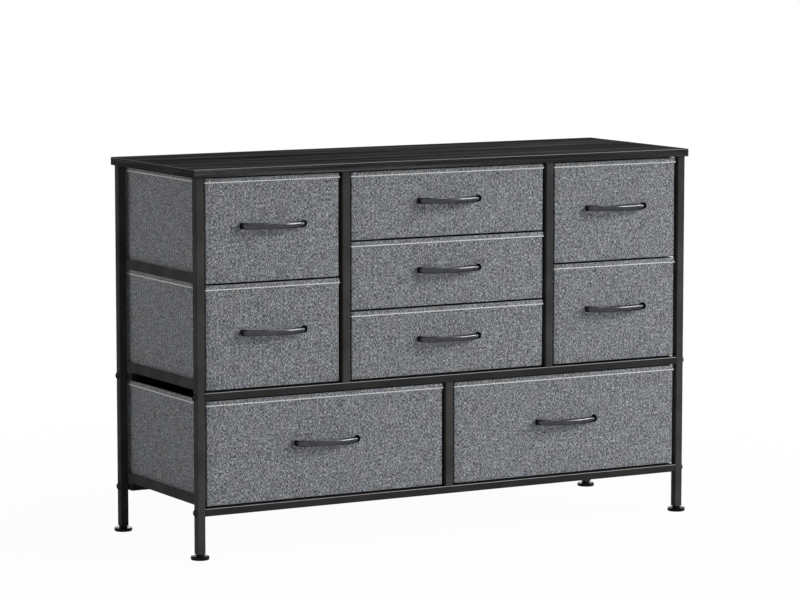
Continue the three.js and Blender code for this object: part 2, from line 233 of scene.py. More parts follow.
unevenYarns = addNode(tree, "ShaderNodeMath", {"operation": "MULTIPLY_ADD"}, {1: cloth["streakShare"]}, {
    0: thickThin.outputs[0], 2: yarns.outputs[0]})
fleckColour = addNode(tree, "ShaderNodeValToRGB", links={0: unevenYarns.outputs[0]})
setRamp(fleckColour, cloth["stops"])
patches = addNode(tree, "ShaderNodeTexNoise", {"noise_dimensions": "2D"},
                  {"Scale": 1 / (cloth["blotch"] * mm), "Detail": cloth["blotchDetail"]},
                  {"Vector": flat.outputs[0]})
patchColour = addNode(tree, "ShaderNodeValToRGB", links={0: patches.outputs[0]})
setRamp(patchColour, cloth["blotchStops"])
dyed = addNode(tree, "ShaderNodeMix", {"data_type": "RGBA", "blend_type": "MULTIPLY"}, {0: 1.0}, {
    6: fleckColour.outputs[0], 7: patchColour.outputs[0]})
ridges = []
for direction in ("X", "Y"):
    ridges.append(addNode(tree, "ShaderNodeTexWave", {"wave_type": "BANDS", "bands_direction": direction},
                          {"Scale": waveRepeat / (cloth["yarn"] * mm), **cloth["ridgeWaver"]},
                          {"Vector": flat.outputs[0]}))
weave = addNode(tree, "ShaderNodeMath", {"operation": "MAXIMUM"}, links={
    0: ridges[0].outputs["Fac"], 1: ridges[1].outputs["Fac"]})
weaveAndSlub = addNode(tree, "ShaderNodeMath", {"operation": "MULTIPLY_ADD"}, {1: cloth["ridgeShare"]}, {
    0: weave.outputs[0], 2: yarns.outputs[0]})
relief = addNode(tree, "ShaderNodeBump", values={"Strength": 0.55, "Distance": cloth["relief"] * mm},
                 links={"Height": weaveAndSlub.outputs[0]})
surface = addNode(tree, "ShaderNodeBsdfPrincipled", values={
    "Roughness": 0.92, "Specular IOR Level": 0.15, "Sheen Weight": 0.25, "Sheen Roughness": 0.5}, links={
    "Base Color": dyed.outputs[2], "Normal": relief.outputs[0]})
addNode(tree, "ShaderNodeOutputMaterial", links={"Surface": surface.outputs[0]})

# Spun-bonded polypropylene lining, heat pressed: dull dark felt with a grid of tiny bond dots
lining = {"stops": [(0.35, "#3b3d40"), (0.7, "#4a4c50")], "dots": 1.6, "fibre": 3.0, "relief": 0.15}
liningFelt, tree = newMaterial("spun_bonded_lining")
place = addNode(tree, "ShaderNodeTexCoord")
dots = addNode(tree, "ShaderNodeTexVoronoi", values={"Scale": 1 / (lining["dots"] * mm), "Randomness": 0.15},
               links={"Vector": place.outputs["Object"]})
fibres = addNode(tree, "ShaderNodeTexNoise", values={"Scale": 1 / (lining["fibre"] * mm), "Detail": 5.0},
                 links={"Vector": place.outputs["Object"]})
fibreColour = addNode(tree, "ShaderNodeValToRGB", links={0: fibres.outputs[0]})
setRamp(fibreColour, lining["stops"])
relief = addNode(tree, "ShaderNodeBump", values={"Strength": 0.5, "Distance": lining["relief"] * mm},
                 links={"Height": dots.outputs["Distance"]})
surface = addNode(tree, "ShaderNodeBsdfPrincipled", values={
    "Roughness": 0.9, "Specular IOR Level": 0.15, "Sheen Weight": 0.05}, links={
    "Base Color": fibreColour.outputs[0], "Normal": relief.outputs[0]})
addNode(tree, "ShaderNodeOutputMaterial", links={"Surface": surface.outputs[0]})

# Polyester sewing thread, spun and twisted: off-white with the small slanting ribs of its plies
thread = {"stops": [(0.1, "#c9c9c7"), (0.6, "#f1f1ef")], "ply": 0.7, "relief": 0.1}
sewingThread, tree = newMaterial("twisted_sewing_thread")
place = addNode(tree, "ShaderNodeTexCoord")
plies = addNode(tree, "ShaderNodeTexWave", {"wave_type": "BANDS", "bands_direction": "DIAGONAL"},
                {"Scale": waveRepeat / (thread["ply"] * mm), "Distortion": 0.5},
                {"Vector": place.outputs["Object"]})
plyColour = addNode(tree, "ShaderNodeValToRGB", links={0: plies.outputs["Fac"]})
setRamp(plyColour, thread["stops"])
relief = addNode(tree, "ShaderNodeBump", values={"Strength": 0.4, "Distance": thread["relief"] * mm},
                 links={"Height": plies.outputs["Fac"]})
surface = addNode(tree, "ShaderNodeBsdfPrincipled", values={
    "Roughness": 0.6, "Specular IOR Level": 0.3, "Sheen Weight": 0.1}, links={
    "Base Color": plyColour.outputs[0], "Normal": relief.outputs[0]})
addNode(tree, "ShaderNodeOutputMaterial", links={"Surface": surface.outputs[0]})

# Melamine-faced chipboard, pressed with a wood-pore plate: dull charcoal with long grain lines, and a
# painted highlight, a paler line along the eased edges that face up
board = {
    "bandWidth": 24, "bandLength": 520,     # the broad figure of the wood print
    "grainWidth": 3.0, "grainLength": 190,
    "poreWidth": 0.8, "poreLength": 26,     # coarser than real pores so that they show
    "bandShare": 0.6,       # of the broad figure beside the grain
    "stops": [(0.38, "#272627"), (0.5, "#3b3b3b"), (0.62, "#585757")],
    "poreLevel": 0.62,      # the noise is a pore above this level
    "poreShade": "#9a9a9a",
    "relief": 0.08,
    # colour of the painted highlight on the eased edges
    "edge": "#909090",
    "edgeTilt": 0.707, "edgeSpan": 0.25,    # upward part of the normal on the eased edge, and its range
    "endFacing": 0.7,       # sideways part of the normal from which a face is an end, its grain turned
}
melamineBoard, tree = newMaterial("melamine_wood_grain_board")
place = addNode(tree, "ShaderNodeTexCoord")
facing = addNode(tree, "ShaderNodeSeparateXYZ", links={0: place.outputs["Normal"]})
sideways = addNode(tree, "ShaderNodeMath", {"operation": "ABSOLUTE"}, links={0: facing.outputs[0]})
endEdge = addNode(tree, "ShaderNodeMath", {"operation": "GREATER_THAN"}, {1: board["endFacing"]},
                  {0: sideways.outputs[0]})
figures = []
for figure, detail in (("grain", 4.0), ("pore", 2.0), ("band", 2.0)):
    across = 1 / (board[f"{figure}Width"] * mm)
    along = 1 / (board[f"{figure}Length"] * mm)
    lengthwise = addNode(tree, "ShaderNodeMapping", values={"Scale": (along, across, across)},
                         links={0: place.outputs["Object"]})
    crosswise = addNode(tree, "ShaderNodeMapping", values={"Scale": (across, along, across)},
                        links={0: place.outputs["Object"]})
    laid = addNode(tree, "ShaderNodeMix", {"data_type": "VECTOR"}, links={
        0: endEdge.outputs[0], 4: lengthwise.outputs[0], 5: crosswise.outputs[0]})
    figures.append(addNode(tree, "ShaderNodeTexNoise", values={
        "Scale": 1.0, "Detail": detail, "Roughness": 0.6, "Distortion": 0.3},
        links={"Vector": laid.outputs[1]}))
grain, pores, bands = figures
woodPrint = addNode(tree, "ShaderNodeMix", {"data_type": "FLOAT"}, {0: board["bandShare"]}, {
    2: grain.outputs[0], 3: bands.outputs[0]})
grainColour = addNode(tree, "ShaderNodeValToRGB", links={0: woodPrint.outputs[0]})
setRamp(grainColour, board["stops"])
poreDepth = addNode(tree, "ShaderNodeMath", {"operation": "GREATER_THAN"}, {1: board["poreLevel"]},
                    {0: pores.outputs[0]})
pored = addNode(tree, "ShaderNodeMix", {"data_type": "RGBA", "blend_type": "MULTIPLY"},
                {7: linear(board["poreShade"])}, {0: poreDepth.outputs[0], 6: grainColour.outputs[0]})
# painted highlight: the eased edges that face up are given the paler edge colour
easedEdge = addNode(tree, "ShaderNodeMath", {"operation": "COMPARE"},
                    {1: board["edgeTilt"], 2: board["edgeSpan"]}, {0: facing.outputs[2]})
paintedBoardHighlight = addNode(tree, "ShaderNodeMix", {"data_type": "RGBA"}, {7: linear(board["edge"])}, {
    0: easedEdge.outputs[0], 6: pored.outputs[2]})
relief = addNode(tree, "ShaderNodeBump", {"invert": True}, {
    "Strength": 0.25, "Distance": board["relief"] * mm}, {"Height": poreDepth.outputs[0]})
surface = addNode(tree, "ShaderNodeBsdfPrincipled", values={
    "Roughness": 0.7, "Specular IOR Level": 0.0}, links={
    "Base Color": paintedBoardHighlight.outputs[2], "Normal": relief.outputs[0]})
addNode(tree, "ShaderNodeOutputMaterial", links={"Surface": surface.outputs[0]})

# Steel tube with black polyester powder coat, baked on: dull satin skin with a faint orange peel, and a
# painted highlight along the rounded upper edges: a paler colour where light from above would catch them
coat = {
    "peel": 1.4, "relief": 0.06, "drift": 60,
    # colour of the painted highlight on the upper edges
    "paintedCoatHighlight": "#bcbcbc",
    "edgeTilt": 0.65, "edgeSpan": 0.3,      # upward part of the normal on those edges, and its range
}
coatTonesAndRailShade = {
    # the rails get a painted shade: a deeper tone than the welded frames, for the shade of the drawers above
    # them
    "black_powder_coated_frames": [(0.4, "#3e3d3c"), (0.62, "#474645")],
    "black_powder_coated_rails": [(0.4, "#302f2f"), (0.62, "#363535")],
}
coated = []
for name, stops in coatTonesAndRailShade.items():
    powderCoat, tree = newMaterial(name)
    place = addNode(tree, "ShaderNodeTexCoord")
    peel = addNode(tree, "ShaderNodeTexNoise", values={"Scale": 1 / (coat["peel"] * mm), "Detail": 2.0},
                   links={"Vector": place.outputs["Object"]})
    drift = addNode(tree, "ShaderNodeTexNoise", values={"Scale": 1 / (coat["drift"] * mm), "Detail": 1.0},
                    links={"Vector": place.outputs["Object"]})
    coatColour = addNode(tree, "ShaderNodeValToRGB", links={0: drift.outputs[0]})
    setRamp(coatColour, stops)
    facing = addNode(tree, "ShaderNodeSeparateXYZ", links={0: place.outputs["Normal"]})
    # painted highlight: the rounded edges that face up are given the paler colour
    upperEdge = addNode(tree, "ShaderNodeMath", {"operation": "COMPARE"},
                        {1: coat["edgeTilt"], 2: coat["edgeSpan"]}, {0: facing.outputs[2]})
    paintedCoatHighlight = addNode(tree, "ShaderNodeMix", {"data_type": "RGBA"}, {7: linear(coat["paintedCoatHighlight"])}, {
        0: upperEdge.outputs[0], 6: coatColour.outputs[0]})
    relief = addNode(tree, "ShaderNodeBump", values={"Strength": 0.2, "Distance": coat["relief"] * mm},
                     links={"Height": peel.outputs[0]})
    surface = addNode(tree, "ShaderNodeBsdfPrincipled", values={
        "Roughness": 0.45, "Specular IOR Level": 0.004}, links={
        "Base Color": paintedCoatHighlight.outputs[2], "Normal": relief.outputs[0]})
    addNode(tree, "ShaderNodeOutputMaterial", links={"Surface": surface.outputs[0]})
    coated.append(powderCoat)
frameCoat, railCoatPaintedShade = coated

# Carbon steel bolts, turned and blackened in hot oxide: deep black with a soft metal glint
oxide = {
    "stops": [(0.35, "#1e1e20"), (0.7, "#28282a")], "rim": "#101010",
    "grain": 1.2,           # far coarser than the real grain, which is too fine to show
}
blackOxide, tree = newMaterial("black_oxide_steel")
place = addNode(tree, "ShaderNodeTexCoord")
grain = addNode(tree, "ShaderNodeTexNoise", values={"Scale": 1 / (oxide["grain"] * mm), "Detail": 3.0},
                links={"Vector": place.outputs["Object"]})
oxideColour = addNode(tree, "ShaderNodeValToRGB", links={0: grain.outputs[0]})
setRamp(oxideColour, oxide["stops"])
surface = addNode(tree, "ShaderNodeBsdfPrincipled", values={
    "Metallic": 1.0, "Roughness": 0.12, "Specular Tint": linear(oxide["rim"])}, links={
    "Base Color": oxideColour.outputs[0]})
addNode(tree, "ShaderNodeOutputMaterial", links={"Surface": surface.outputs[0]})

# Polypropylene feet, injection moulded: plain black with a low sheen and a fine spark texture
plastic = {
    "stops": [(0.35, "#0d0d0d"), (0.7, "#131314")],
    "spark": 0.9, "relief": 0.05,          # coarser than the real texture, which is too fine to show
}
mouldedPlastic, tree = newMaterial("moulded_black_polypropylene")
place = addNode(tree, "ShaderNodeTexCoord")
spark = addNode(tree, "ShaderNodeTexNoise", values={"Scale": 1 / (plastic["spark"] * mm), "Detail": 2.0},
                links={"Vector": place.outputs["Object"]})
sparkColour = addNode(tree, "ShaderNodeValToRGB", links={0: spark.outputs[0]})
setRamp(sparkColour, plastic["stops"])
relief = addNode(tree, "ShaderNodeBump", values={"Strength": 0.15, "Distance": plastic["relief"] * mm},
                 links={"Height": spark.outputs[0]})
surface = addNode(tree, "ShaderNodeBsdfPrincipled", values={
    "Roughness": 0.3, "IOR": 1.49, "Specular IOR Level": 0.06}, links={
    "Base Color": sparkColour.outputs[0], "Normal": relief.outputs[0]})
addNode(tree, "ShaderNodeOutputMaterial", links={"Surface": surface.outputs[0]})

# Die-cast zinc handles, polished and plated in black nickel: a dark metal mirror, nearly black at its rims
nickel = {"stops": [(0.35, "#3f3f41"), (0.65, "#49494b")], "rim": "#080808", "flow": 9, "relief": 0.1}
blackNickel, tree = newMaterial("black_nickel_plated_zinc")
place = addNode(tree, "ShaderNodeTexCoord")
flow = addNode(tree, "ShaderNodeTexNoise", values={"Scale": 1 / (nickel["flow"] * mm), "Detail": 1.0},
               links={"Vector": place.outputs["Object"]})
nickelColour = addNode(tree, "ShaderNodeValToRGB", links={0: flow.outputs[0]})
setRamp(nickelColour, nickel["stops"])
relief = addNode(tree, "ShaderNodeBump", values={"Strength": 0.05, "Distance": nickel["relief"] * mm},
                 links={"Height": flow.outputs[0]})
surface = addNode(tree, "ShaderNodeBsdfPrincipled", values={
    "Metallic": 1.0, "Roughness": 0.15, "Specular Tint": linear(nickel["rim"])}, links={
    "Base Color": nickelColour.outputs[0], "Normal": relief.outputs[0]})
addNode(tree, "ShaderNodeOutputMaterial", links={"Surface": surface.outputs[0]})

# Zinc-plated steel screws, bright passivated: pale grey metal, slightly cloudy
zinc = {"stops": [(0.35, "#9a9ca0"), (0.65, "#c2c4c8")], "cloud": 2.0}
platedScrew, tree = newMaterial("bright_zinc_plated_steel")
place = addNode(tree, "ShaderNodeTexCoord")
cloud = addNode(tree, "ShaderNodeTexNoise", values={"Scale": 1 / (zinc["cloud"] * mm), "Detail": 2.0},
                links={"Vector": place.outputs["Object"]})
zincColour = addNode(tree, "ShaderNodeValToRGB", links={0: cloud.outputs[0]})
setRamp(zincColour, zinc["stops"])
surface = addNode(tree, "ShaderNodeBsdfPrincipled", values={"Metallic": 1.0, "Roughness": 0.32},
                  links={"Base Color": zincColour.outputs[0]})
addNode(tree, "ShaderNodeOutputMaterial", links={"Surface": surface.outputs[0]})

# Hardboard, hot pressed from wood fibre: brown, matt, with short pale and dark fibres
fibreboard = {
    "stops": [(0.3, "#5d4a35"), (0.5, "#7d6850"), (0.75, "#a08a6c")],
    "fibre": 1.3, "length": 7,            # coarser than the real fibres so that they show
    "lie": (0.4, 0.3, 0.5),               # radians
    "relief": 0.1,
}
pressedHardboard, tree = newMaterial("pressed_hardboard")
place = addNode(tree, "ShaderNodeTexCoord")
acrossFibre = 1 / (fibreboard["fibre"] * mm)
alongFibre = 1 / (fibreboard["length"] * mm)
laid = addNode(tree, "ShaderNodeMapping", values={
    "Rotation": fibreboard["lie"], "Scale": (alongFibre, acrossFibre, acrossFibre)},
    links={0: place.outputs["Object"]})
fibres = addNode(tree, "ShaderNodeTexNoise", values={"Scale": 1.0, "Detail": 4.0, "Distortion": 1.2},
                 links={"Vector": laid.outputs[0]})
fibreColour = addNode(tree, "ShaderNodeValToRGB", links={0: fibres.outputs[0]})
setRamp(fibreColour, fibreboard["stops"])
relief = addNode(tree, "ShaderNodeBump", values={"Strength": 0.2, "Distance": fibreboard["relief"] * mm},
                 links={"Height": fibres.outputs[0]})
surface = addNode(tree, "ShaderNodeBsdfPrincipled", values={
    "Roughness": 0.75, "Specular IOR Level": 0.25}, links={
    "Base Color": fibreColour.outputs[0], "Normal": relief.outputs[0]})
addNode(tree, "ShaderNodeOutputMaterial", links={"Surface": surface.outputs[0]})

for name, node in nodes.items():
    if name == "top_panel":
        finish = melamineBoard
    elif name.endswith("_board"):
        finish = pressedHardboard
    elif name.startswith("bolt_"):
        finish = blackOxide
    elif name.startswith("foot_"):
        finish = mouldedPlastic
    elif name.endswith("_handle"):
        finish = blackNickel
    elif name.endswith("_fabric_box"):
        finish = liningFelt
    elif name.endswith("_rail"):
        finish = railCoatPaintedShade
    else:
        finish = frameCoat
    for materialSlot in node.material_slots:
        materialSlot.material = finish
print("Materials made and given to the CAD nodes")


# Modelling helpers

levelNormal = 0.99  # a face is level where its unit normal points up or down by more than this


def anyFace(normal):
    return True


def facesUp(normal):
    return normal.z > levelNormal


def facesDown(normal):
    return normal.z < -levelNormal


def isLevel(normal):
    return abs(normal.z) > levelNormal


def isUpright(a, b):
    return abs(a.x - b.x) < hair and abs(a.y - b.y) < hair


def isOuterCorner(a, low, high):
    return min(a.x - low.x, high.x - a.x) < hair and min(a.y - low.y, high.y - a.y) < hair


def pickOnly(piece):
    bpy.ops.object.select_all(action="DESELECT")
    piece.select_set(True)
    bpy.context.view_layer.objects.active = piece


def applyPlace(piece):
    pickOnly(piece)
    bpy.ops.object.transform_apply(location=True, rotation=True, scale=True)


def takeNew(name):
    # names the primitive that was just added and puts its place in its mesh
    piece = bpy.context.object
    piece.name = piece.data.name = name
    applyPlace(piece)
    return piece


def addBlock(name, low, high):
    bpy.ops.object.select_all(action="DESELECT")
    bpy.ops.mesh.primitive_cube_add(size=1, location=(low + high) / 2, scale=high - low)
    return takeNew(name)


def addDisc(name, sides, radius, height, foot=0):
    # foot is the level of its lower face, in millimetres like the others
    bpy.ops.object.select_all(action="DESELECT")
    bpy.ops.mesh.primitive_cylinder_add(vertices=sides, radius=radius * mm, depth=height * mm,
                                        location=(0, 0, (foot + height / 2) * mm))
    return takeNew(name)


def editOn(piece, kind, test):
    # opens edit mode with only the faces or edges selected that pass the test
    mesh = piece.data
    for part in [*mesh.vertices, *mesh.edges, *mesh.polygons]:
        part.select = False
    if kind == "FACE":
        for face in mesh.polygons:
            face.select = test(face.normal)
    else:
        for edge in mesh.edges:
            edge.select = test(*[mesh.vertices[i].co for i in edge.vertices])
    pickOnly(piece)
    bpy.context.tool_settings.mesh_select_mode = (False, kind == "EDGE", kind == "FACE")
    bpy.ops.object.mode_set(mode="EDIT")


def editDone():
    bpy.ops.object.mode_set(mode="OBJECT")


def pullOut(length):
    bpy.ops.mesh.extrude_region_move(TRANSFORM_OT_translate={"value": (0, 0, length * mm)})


def applyModifier(piece, kind, settings):
    pickOnly(piece)
    modifier = piece.modifiers.new(kind.lower(), kind)
    for name, value in settings.items():
        setattr(modifier, name, value)
    bpy.ops.object.modifier_apply(modifier=modifier.name)


def roundSharpEdges(piece, radius, overAngle):
    applyModifier(piece, "BEVEL", {"width": radius * mm, "segments": 3, "limit_method": "ANGLE",
                                   "angle_limit": math.radians(overAngle)})


def cover(piece, *materials):
    piece.data.materials.clear()
    for material in materials:
        piece.data.materials.append(material)


def smoothByAngle(piece, degrees):
    pickOnly(piece)
    bpy.ops.object.shade_smooth_by_angle(angle=math.radians(degrees))


def ownCopy(piece, name):
    copy = piece.copy()
    copy.data = piece.data.copy()
    copy.name = copy.data.name = name
    bpy.context.scene.collection.objects.link(copy)
    return copy


def joinInto(piece, others):
    bpy.ops.object.select_all(action="DESELECT")
    for other in others:
        other.select_set(True)
    piece.select_set(True)
    bpy.context.view_layer.objects.active = piece
    bpy.ops.object.join()


def layClothMap(piece):
    # the cloth's own map in metres, so that the threads run upright and level on every side
    mesh = piece.data
    layer = mesh.uv_layers.new(name="clothMap")
    for face in mesh.polygons:
        x, y, z = [abs(value) for value in face.normal]
        if x > max(y, z):
            first, second = 1, 2
        elif z > max(x, y):
            first, second = 0, 1
        else:
            first, second = 0, 2
        for loop in face.loop_indices:
            corner = mesh.vertices[mesh.loops[loop].vertex_index].co
            layer.data[loop].uv = (corner[first], corner[second])


# Fabric drawers: shell, folded hem and its stitching

drawerCloth = {
    "standOut": 1.4,        # how far the hem stands out of the wall in the CAD box
    "wall": 2.4,
    "rimDrop": 0.6,         # from the hem's top to the shell's rim
    "edgeRadius": 1.1,      # a little under half the wall, so that the rim is rounded over
    "sharpAngle": 60,       # between faces, from which an edge is rounded
    "gridStep": 21,         # between the cuts that let the cloth sway
    "sway": 1.5, "swayWidth": 95,
    "stillFloor": 0.3, "stillRim": 0.25,    # of the height, where the sway dies away
    "smoothAngle": 45,
}
hem = {
    "height": 8.6, "fold": 4.1, "rimRadius": 0.8, "sharpAngle": 60,
    "cornerRadius": 3, "cornerSteps": 4, "smoothAngle": 50,
}
stitch = {
    "length": 7.5, "step": 6.5,     # coarser than the real ones so that they show, and their ends meet
    "thickness": 2.4, "rise": 1.5, "aboveEdge": 1.0,
    "slant": 2, "smoothAngle": 80,
    "sides": 8, "rings": 5,         # few, for a shape that is repeated so often
}

swayNoise = bpy.data.textures.new("clothSway", "CLOUDS")
swayNoise.noise_scale = drawerCloth["swayWidth"] * mm


def makeShell(name, low, high):
    shell = addBlock(name, low, high)
    editOn(shell, "FACE", facesUp)
    bpy.ops.mesh.delete(type="ONLY_FACE")
    editDone()
    editOn(shell, "FACE", anyFace)
    for axis in range(3):
        cuts = round((high[axis] - low[axis]) / (drawerCloth["gridStep"] * mm))
        for cut in range(1, cuts):
            place, normal = list(low), [0, 0, 0]
            place[axis] += (high[axis] - low[axis]) * cut / cuts
            normal[axis] = 1
            bpy.ops.mesh.select_all(action="SELECT")
            bpy.ops.mesh.bisect(plane_co=place, plane_no=normal)
    editDone()
    free = shell.vertex_groups.new(name="free")  # the floor and the rim stay straight
    for vertex in shell.data.vertices:
        share = (vertex.co.z - low.z) / (high.z - low.z)
        looseness = min(share / drawerCloth["stillFloor"], (1 - share) / drawerCloth["stillRim"], 1)
        free.add([vertex.index], max(0, looseness), "REPLACE")
    applyModifier(shell, "DISPLACE", {"texture": swayNoise, "texture_coords": "LOCAL",
                                      "strength": drawerCloth["sway"] * mm, "vertex_group": "free"})
    shell.vertex_groups.clear()
    cover(shell, heatherCloth, liningFelt)
    applyModifier(shell, "SOLIDIFY", {"thickness": drawerCloth["wall"] * mm, "offset": -1,
                                      "use_even_offset": True, "material_offset": 1})
    roundSharpEdges(shell, drawerCloth["edgeRadius"], drawerCloth["sharpAngle"])
    layClothMap(shell)
    smoothByAngle(shell, drawerCloth["smoothAngle"])
    return shell


def makeHem(name, low, high):
    ring = addBlock(name, Vector((low.x, low.y, high.z - hem["height"] * mm)), high)
    editOn(ring, "FACE", isLevel)
    bpy.ops.mesh.delete(type="ONLY_FACE")
    editDone()
    applyModifier(ring, "SOLIDIFY", {"thickness": hem["fold"] * mm, "offset": -1, "use_even_offset": True})
    editOn(ring, "EDGE", lambda a, b: isUpright(a, b) and isOuterCorner(a, low, high))
    bpy.ops.mesh.bevel(offset=hem["cornerRadius"] * mm, segments=hem["cornerSteps"], affect="EDGES")
    editDone()
    roundSharpEdges(ring, hem["rimRadius"], hem["sharpAngle"])
    cover(ring, heatherCloth)
    layClothMap(ring)
    smoothByAngle(ring, hem["smoothAngle"])
    return ring


def makeStitch():
    # a ball of 1 m across, turned to lie on its side, then drawn to size and slanted
    bpy.ops.object.select_all(action="DESELECT")
    bpy.ops.mesh.primitive_uv_sphere_add(segments=stitch["sides"], ring_count=stitch["rings"], radius=0.5)
    one = takeNew("one_stitch")
    cover(one, sewingThread)
    one.rotation_euler = (0, math.radians(90), 0)
    applyPlace(one)
    one.scale = (stitch["length"] * mm, stitch["rise"] * mm, stitch["thickness"] * mm)
    applyPlace(one)
    one.rotation_euler = (0, math.radians(stitch["slant"]), 0)
    applyPlace(one)
    smoothByAngle(one, stitch["smoothAngle"])
    return one


def makeStitching(name, low, high):
    # a run of stitches along each side of the hem, just above its lower edge
    runs = []
    corner = hem["cornerRadius"] * mm
    level = high.z - (hem["height"] - stitch["aboveEdge"]) * mm
    middle = (low + high) / 2
    sides = ((high.x - low.x, middle.y - low.y), (high.y - low.y, high.x - middle.x)) * 2
    for side, (length, reach) in enumerate(sides):
        run = ownCopy(oneStitch, f"{name}_run_{side}")
        straight = length - 2 * corner
        count = math.floor(straight / (stitch["step"] * mm)) + 1
        step = straight / (count - 1)
        run.location = (-straight / 2, -reach, 0)
        applyPlace(run)
        applyModifier(run, "ARRAY", {"count": count, "use_relative_offset": False,
                                     "use_constant_offset": True, "constant_offset_displace": (step, 0, 0)})
        run.rotation_euler = (0, 0, math.radians(90 * side))
        run.location = (middle.x, middle.y, level)
        applyPlace(run)
        runs.append(run)
    joinInto(runs[0], runs[1:])
    runs[0].name = runs[0].data.name = name
    return runs[0]


oneStitch = makeStitch()
for name in drawerNames:
    low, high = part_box(f"{name}_fabric_box")
    inset = Vector((drawerCloth["standOut"] * mm, drawerCloth["standOut"] * mm, 0))
    rimDrop = Vector((0, 0, drawerCloth["rimDrop"] * mm))
    shell = makeShell(f"{name}_cloth", low + inset, high - inset - rimDrop)
    ring = makeHem(f"{name}_hem", low, high)
    seam = makeStitching(f"{name}_stitching", low, high)
    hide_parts(f"{name}_fabric_box")
    for piece in (shell, ring, seam):
        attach(piece, name)
bpy.data.objects.remove(oneStitch)
print("Fabric drawers sewn:", len(drawerNames))


# Bow handles with their screws

bow = {
    "halfLength": 60, "reach": 25, "height": 10.8, "thickness": 7,
    "roundness": 2.4,       # of the bow seen from above, 2 is an ellipse
    "seat": 0.3,            # between the bar's ends and the cloth
    "points": 17, "stepsBetween": 4,
    "squareOff": 1.03,      # above 1 the section's oval is a little fuller at its four shoulders
    "sectionSteps": 6,
    "mergeWithin": 0.02, "smoothAngle": 50,
}
handleScrew = {
    "headRadius": 3, "headHeight": 1.8, "headSides": 24,
    "headEdge": 0.7, "headEdgeAngle": 50,
    "shankRadius": 1.5,
    "headSeat": 6.3,        # from the cloth's face to the head's seat on the front board
    "root": 3,              # from the cloth's face to the shank's end inside the bar
    "recessLength": 3.4, "recessWidth": 0.7,
    "recessFloor": 1.0, "recessTop": 3,    # levels above the head's seat
    "smoothAngle": 40,
}


def makeBow():
    # the bar is swept along a curve, with a flattened oval section
    bpy.ops.object.select_all(action="DESELECT")
    bpy.ops.curve.primitive_bezier_circle_add(radius=1)
    section = bpy.context.object
    section.data.resolution_u = bow["sectionSteps"]
    for point in section.data.splines[0].bezier_points:
        along = 1 if abs(point.co.x) > 0.5 else 0  # the points at the two sides have upright handles
        for part in ("handle_left", "handle_right"):
            getattr(point, part)[along] *= bow["squareOff"]
        for part in ("handle_left", "handle_right", "co"):
            spot = getattr(point, part)
            setattr(point, part, (spot[0] * bow["thickness"] / 2 * mm, spot[1] * bow["height"] / 2 * mm, 0))
    bpy.ops.curve.primitive_bezier_curve_add()
    path = bpy.context.object
    spline = path.data.splines[0]
    spline.bezier_points.add(bow["points"] - 2)
    for index, point in enumerate(spline.bezier_points):
        angle = math.pi * (1 - index / (bow["points"] - 1))
        out, side = max(math.sin(angle), 0), math.cos(angle)
        power = 2 / bow["roundness"]
        point.co = (math.copysign(abs(side) ** power, side) * bow["halfLength"] * mm,
                    -(out ** power * bow["reach"] + bow["seat"]) * mm, 0)
        point.handle_left_type = point.handle_right_type = "AUTO"
    path.data.dimensions = "2D"
    path.data.resolution_u = bow["stepsBetween"]
    path.data.bevel_mode = "OBJECT"
    path.data.bevel_object = section
    path.data.use_fill_caps = True
    pickOnly(path)
    bpy.ops.object.convert(target="MESH")
    bar = bpy.context.object
    bar.name = bar.data.name = "one_bow"
    bpy.data.objects.remove(section)
    editOn(bar, "FACE", anyFace)
    bpy.ops.mesh.remove_doubles(threshold=bow["mergeWithin"] * mm)
    bpy.ops.mesh.normals_make_consistent(inside=False)
    editDone()
    cover(bar, blackNickel)
    applyPlace(bar)
    smoothByAngle(bar, bow["smoothAngle"])
    return bar


def makeHandleScrew():
    # pan head with a cross recess, its axis along y and its head seat at y = 0
    screw = addDisc("one_handle_screw", handleScrew["headSides"], handleScrew["headRadius"],
                    handleScrew["headHeight"])
    editOn(screw, "FACE", facesDown)
    bpy.ops.mesh.inset(thickness=(handleScrew["headRadius"] - handleScrew["shankRadius"]) * mm)
    pullOut(-(handleScrew["headSeat"] + handleScrew["root"]))
    editDone()
    roundSharpEdges(screw, handleScrew["headEdge"], handleScrew["headEdgeAngle"])
    halfLength, halfWidth = handleScrew["recessLength"] / 2, handleScrew["recessWidth"] / 2
    for turned in (0, 90):
        slotCut = addBlock("slot_cut", Vector((-halfLength, -halfWidth, handleScrew["recessFloor"])) * mm,
                           Vector((halfLength, halfWidth, handleScrew["recessTop"])) * mm)
        slotCut.rotation_euler = (0, 0, math.radians(turned))
        applyPlace(slotCut)
        applyModifier(screw, "BOOLEAN", {"operation": "DIFFERENCE", "object": slotCut})
        bpy.data.objects.remove(slotCut)
    cover(screw, platedScrew)
    screw.rotation_euler = (math.radians(-90), 0, 0)  # the head's top turns to +y, into the drawer
    applyPlace(screw)
    smoothByAngle(screw, handleScrew["smoothAngle"])
    return screw


oneBow = makeBow()
oneScrew = makeHandleScrew()
for name in drawerNames:
    low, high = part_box(f"{name}_handle")
    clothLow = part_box(f"{name}_fabric_box")[0]
    face = clothLow.y + drawerCloth["standOut"] * mm
    centre = Vector(((low.x + high.x) / 2, face, (low.z + high.z) / 2))
    bar = ownCopy(oneBow, f"{name}_bow_handle")
    bar.location = centre
    applyPlace(bar)
    screws = []
    for side in (-1, 1):
        screw = ownCopy(oneScrew, f"{name}_handle_screws" if side < 0 else "second_screw")
        screw.location = centre + Vector((side * bow["halfLength"], handleScrew["headSeat"], 0)) * mm
        applyPlace(screw)
        screws.append(screw)
    joinInto(screws[0], screws[1:])
    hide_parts(f"{name}_handle")
    for piece in (bar, screws[0]):
        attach(piece, name)
bpy.data.objects.remove(oneBow)
bpy.data.objects.remove(oneScrew)
print("Handles fitted")


# Bolts and levelling feet

